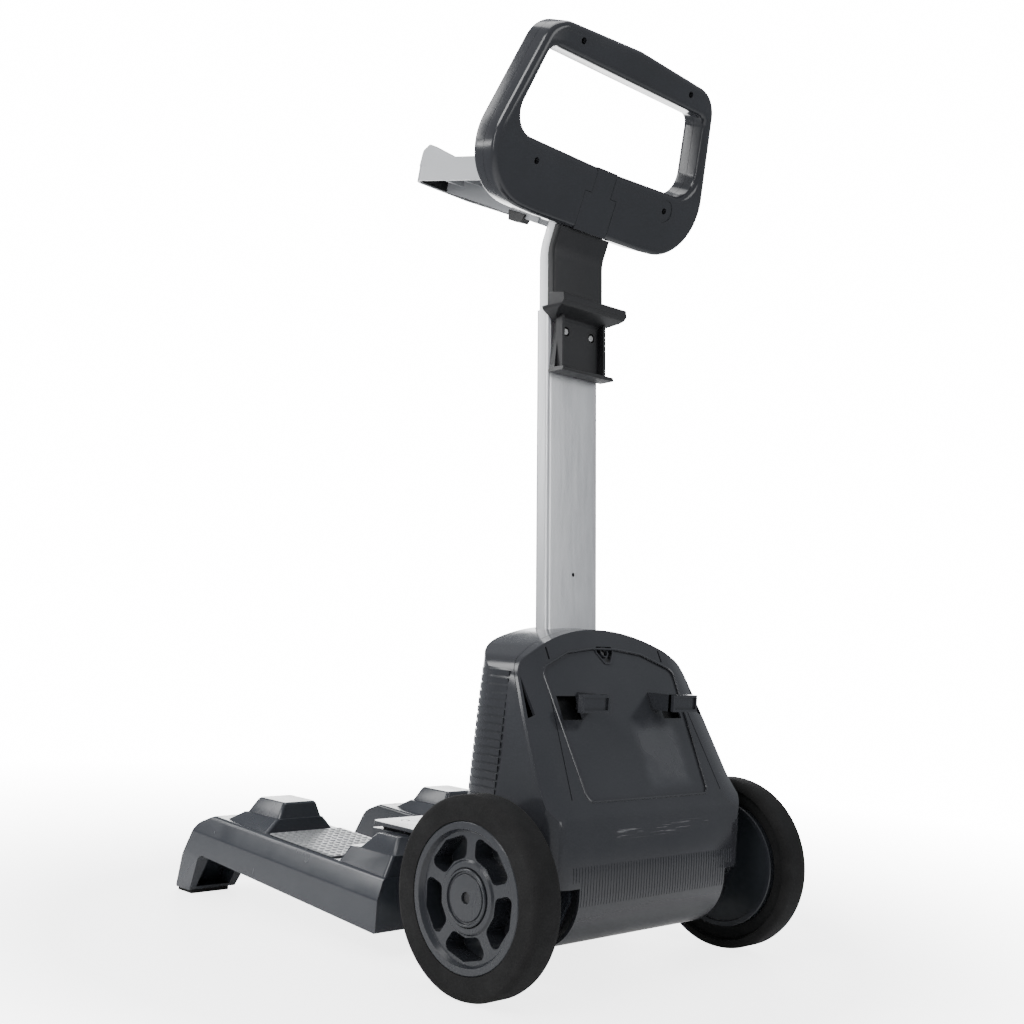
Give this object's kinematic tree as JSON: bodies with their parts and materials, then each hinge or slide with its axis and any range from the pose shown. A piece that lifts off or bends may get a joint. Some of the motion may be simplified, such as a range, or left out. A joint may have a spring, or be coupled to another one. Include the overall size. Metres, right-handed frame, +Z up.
{
  "type": "pool cleaner caddy",
  "caption": "Two-wheeled upright caddy for a pool cleaning robot, with a forked deck, aluminium mast, cable hooks, unit tray and ring handle.",
  "frame": {"origin": "middle of the footprint on the ground, under the centre of the whole object's box", "axes": "+Z up; +Y towards the person pushing it, -Y towards the deck; +X along the axle"},
  "size_m": [0.4364, 0.6348, 0.9959],
  "materials": {
    "gloss_charcoal": "gloss moulded charcoal",
    "satin_charcoal": "satin moulded charcoal",
    "matte_black": "matte textured black",
    "anodised_aluminium": "satin anodised, drawn along its length",
    "zinc_steel": "zinc plated",
    "foam_tyre": "matte foamed rubber",
    "foot_rubber": "matte rubber",
    "grip_sheet": "ribbed anti-slip sheet",
    "light_grey": "satin light grey",
    "natural_nylon": "natural nylon"
  },
  "bodies": {
    "frame": {"arm_bolt_left_1": "zinc_steel", "arm_bolt_left_2": "zinc_steel", "arm_bolt_right_1": "zinc_steel", "arm_bolt_right_2": "zinc_steel", "axle": "zinc_steel", "axle_bush_left": "natural_nylon", "axle_bush_right": "natural_nylon", "axle_clip_left": "zinc_steel", "axle_clip_right": "zinc_steel", "axle_washer_left": "zinc_steel", "axle_washer_right": "zinc_steel", "bracket_screw_left": "zinc_steel", "bracket_screw_right": "zinc_steel", "chassis": "satin_charcoal", "chassis_lid": "satin_charcoal", "cover_top_screw": "zinc_steel", "deck_arm_left": "satin_charcoal", "deck_arm_right": "satin_charcoal", "foot_pad_left": "foot_rubber", "foot_pad_right": "foot_rubber", "front_housing": "gloss_charcoal", "grip_pad_left": "grip_sheet", "grip_pad_right": "grip_sheet", "handle_centre_insert": "gloss_charcoal", "handle_front_shell": "gloss_charcoal", "handle_rear_shell": "gloss_charcoal", "handle_screw_lower_left": "zinc_steel", "handle_screw_lower_right": "zinc_steel", "handle_screw_upper_left": "zinc_steel", "handle_screw_upper_right": "zinc_steel", "lid_screw_left_1": "zinc_steel", "lid_screw_left_2": "zinc_steel", "lid_screw_right_1": "zinc_steel", "lid_screw_right_2": "zinc_steel", "mast_bolt": "zinc_steel", "mast_bracket": "matte_black", "mast_lower_tube": "anodised_aluminium", "mast_nut": "zinc_steel", "mast_socket": "matte_black", "mast_upper_tube": "anodised_aluminium", "neck_cover": "matte_black", "rear_cover": "gloss_charcoal", "tray": "light_grey", "tray_clip": "matte_black", "tray_screw_left": "zinc_steel", "tray_screw_right": "zinc_steel", "wheel_spacer_left": "matte_black", "wheel_spacer_right": "matte_black"},
    "wheel_left": {"tyre_left": "foam_tyre", "hub_left": "gloss_charcoal", "hub_cap_left": "gloss_charcoal"},
    "wheel_right": {"tyre_right": "foam_tyre", "hub_right": "gloss_charcoal", "hub_cap_right": "gloss_charcoal"}
  },
  "joints": [
    {"name": "wheel_left_spin", "type": "hinge", "parent": "frame", "child": "wheel_left", "pos_m": [0.2, 0.2225, 0.095], "axis": [1, 0, 0], "continuous": true},
    {"name": "wheel_right_spin", "type": "hinge", "parent": "frame", "child": "wheel_right", "pos_m": [-0.2, 0.2225, 0.095], "axis": [1, 0, 0], "continuous": true}
  ]
}
